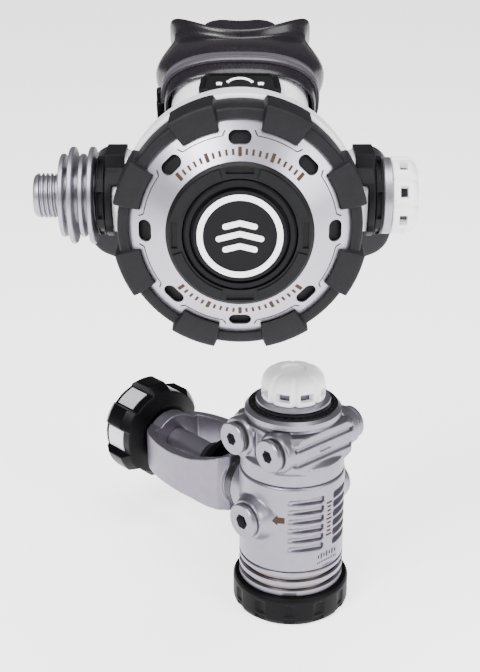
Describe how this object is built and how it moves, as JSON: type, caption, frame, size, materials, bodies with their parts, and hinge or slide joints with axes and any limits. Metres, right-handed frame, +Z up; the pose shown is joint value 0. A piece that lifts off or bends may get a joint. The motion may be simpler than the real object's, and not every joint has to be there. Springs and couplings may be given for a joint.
{
  "type": "scuba regulator set",
  "caption": "Two-stage scuba regulator: demand second stage with purge button, mouthpiece and exhaust tee, and diaphragm first stage with swivel turret and yoke clamp.",
  "frame": {"origin": "centre of the yoke's sealing seat on the first stage, where the cylinder valve meets it", "axes": "+Z up along the first stage's barrel and up the second stage's cover plate, -Y the way the cover plate faces, +X to the diver's left; the yoke points to -X +Y, 48 degrees round from -X"},
  "size_m": [0.1221, 0.2076, 0.2574],
  "materials": {
    "white_plastic": "semi-gloss moulded technopolymer",
    "white_inlay": "matt",
    "black_rubber": "fine-grained rubber",
    "black_plastic": "satin",
    "mouthpiece_silicone": "semi-gloss silicone",
    "strap_plastic": "satin nylon",
    "grey_silicone": "translucent silicone",
    "satin_plate": "satin pearl",
    "satin_metal": "satin pearl chrome",
    "grey_metal": "satin forged",
    "dark_metal": "dark satin",
    "spring_steel": "drawn steel",
    "brass": "machined",
    "bronze_filter": "sintered",
    "seal_rubber": "matt"
  },
  "bodies": {
    "first_stage": {"first_body": "satin_metal", "spring_housing": "satin_metal", "end_cover": "black_rubber", "spring_adjuster": "brass", "environmental_diaphragm": "grey_silicone", "main_spring": "spring_steel", "main_diaphragm": "grey_silicone", "seat_insert": "brass", "main_poppet_spring": "spring_steel", "balance_plug": "brass", "high_port_plugs": "satin_metal", "turret_bolt": "satin_metal", "yoke_retainer": "dark_metal", "yoke_collar": "dark_metal", "inlet_filter": "bronze_filter"},
    "valve_train": {"load_transmitter": "satin_metal", "valve_lifter": "brass", "main_poppet": "spring_steel"},
    "turret_block": {"turret": "satin_metal", "low_port_plugs": "satin_metal", "port_o_rings": "seal_rubber", "turret_top_ring": "satin_metal", "cap_flange": "satin_metal", "top_cap": "white_plastic"},
    "yoke_frame": {"yoke": "grey_metal"},
    "clamp_screw": {"yoke_screw": "grey_metal", "screw_pad": "grey_metal"},
    "knob": {"handwheel": "black_plastic", "handwheel_inserts": "satin_metal"},
    "dust_plug": {"dust_cap": "black_plastic"},
    "second_stage": {"case": "white_plastic", "front_ring": "black_rubber", "cover_plate": "satin_plate", "purge_housing": "black_plastic", "purge_spring": "spring_steel", "diaphragm": "grey_silicone", "diaphragm_clamp_ring": "black_plastic", "valve_tube": "satin_metal", "inlet_orifice": "brass", "poppet_spring": "spring_steel", "inlet_stub": "satin_metal", "heat_exchanger": "satin_metal", "left_collar": "black_plastic", "right_collar": "black_plastic", "left_arm_clip": "black_plastic", "right_arm_clip": "black_plastic", "end_ring": "satin_metal", "end_cap": "white_plastic", "exhaust_tee": "black_plastic", "mouthpiece": "mouthpiece_silicone", "mouthpiece_clamp": "strap_plastic", "flow_vane": "black_plastic", "neck_badge": "black_plastic"},
    "purge": {"purge_button": "black_plastic", "purge_trim_ring": "white_inlay", "purge_emblem": "white_inlay"},
    "diaphragm_centre": {"diaphragm_plate": "satin_metal"},
    "lever": {"demand_lever": "spring_steel"},
    "poppet_slide": {"poppet": "spring_steel"},
    "exhaust_flap": {"exhaust_valve": "grey_silicone"}
  },
  "joints": [
    {"name": "turret_swivel", "type": "hinge", "parent": "first_stage", "child": "turret_block", "pos_m": [0.02309, -0.02564, 0.0335], "axis": [0, 0, 1], "continuous": true},
    {"name": "yoke_swivel", "type": "hinge", "parent": "first_stage", "child": "yoke_frame", "pos_m": [0, 0, 0], "axis": [-0.6691, 0.7431, 0], "continuous": true},
    {"name": "clamp_feed", "type": "slide", "parent": "yoke_frame", "child": "clamp_screw", "axis": [-0.6691, 0.7431, 0], "range_m": [0, 0.01]},
    {"name": "knob_turn", "type": "hinge", "parent": "clamp_screw", "child": "knob", "pos_m": [-0.04048, 0.04496, 0], "axis": [-0.6691, 0.7431, 0], "range_deg": [0, 1800]},
    {"name": "dust_plug_lift", "type": "slide", "parent": "yoke_frame", "child": "dust_plug", "axis": [0, 0, 1], "range_m": [0, 0.04]},
    {"name": "main_valve_lift", "type": "slide", "parent": "first_stage", "child": "valve_train", "axis": [0, 0, 1], "range_m": [0, 0.0005], "stiffness_N_per_m": 2000, "deforming": ["main_spring", "main_poppet_spring", "main_diaphragm"]},
    {"name": "second_stage_lift", "type": "slide", "parent": "first_stage", "child": "second_stage", "axis": [0, 0, 1], "range_m": [0, 0.12]},
    {"name": "purge_press", "type": "slide", "parent": "second_stage", "child": "purge", "axis": [0, 1, 0], "range_m": [0, 0.003], "stiffness_N_per_m": 600, "deforming": ["purge_spring"]},
    {"name": "diaphragm_travel", "type": "slide", "parent": "second_stage", "child": "diaphragm_centre", "axis": [0, 1, 0], "range_m": [0, 0.0027], "deforming": ["diaphragm"]},
    {"name": "lever_tilt", "type": "hinge", "parent": "second_stage", "child": "lever", "pos_m": [0.013, -0.1218, 0.1595], "axis": [0, 0, -1], "range_deg": [0, 10.4]},
    {"name": "poppet_travel", "type": "slide", "parent": "second_stage", "child": "poppet_slide", "axis": [1, 0, 0], "range_m": [0, 0.0012], "deforming": ["poppet_spring"]},
    {"name": "exhaust_flap_lift", "type": "slide", "parent": "second_stage", "child": "exhaust_flap", "axis": [0, 0.766, -0.6428], "range_m": [0, 0.0015], "stiffness_N_per_m": 200}
  ],
  "couplings": [
    {"joint": "clamp_feed", "follows": "knob_turn", "m_per_rad": 0.000318},
    {"joint": "diaphragm_travel", "follows": "purge_press", "ratio": 0.9},
    {"joint": "lever_tilt", "follows": "purge_press", "rad_per_m": 60},
    {"joint": "poppet_travel", "follows": "purge_press", "ratio": 0.4}
  ]
}
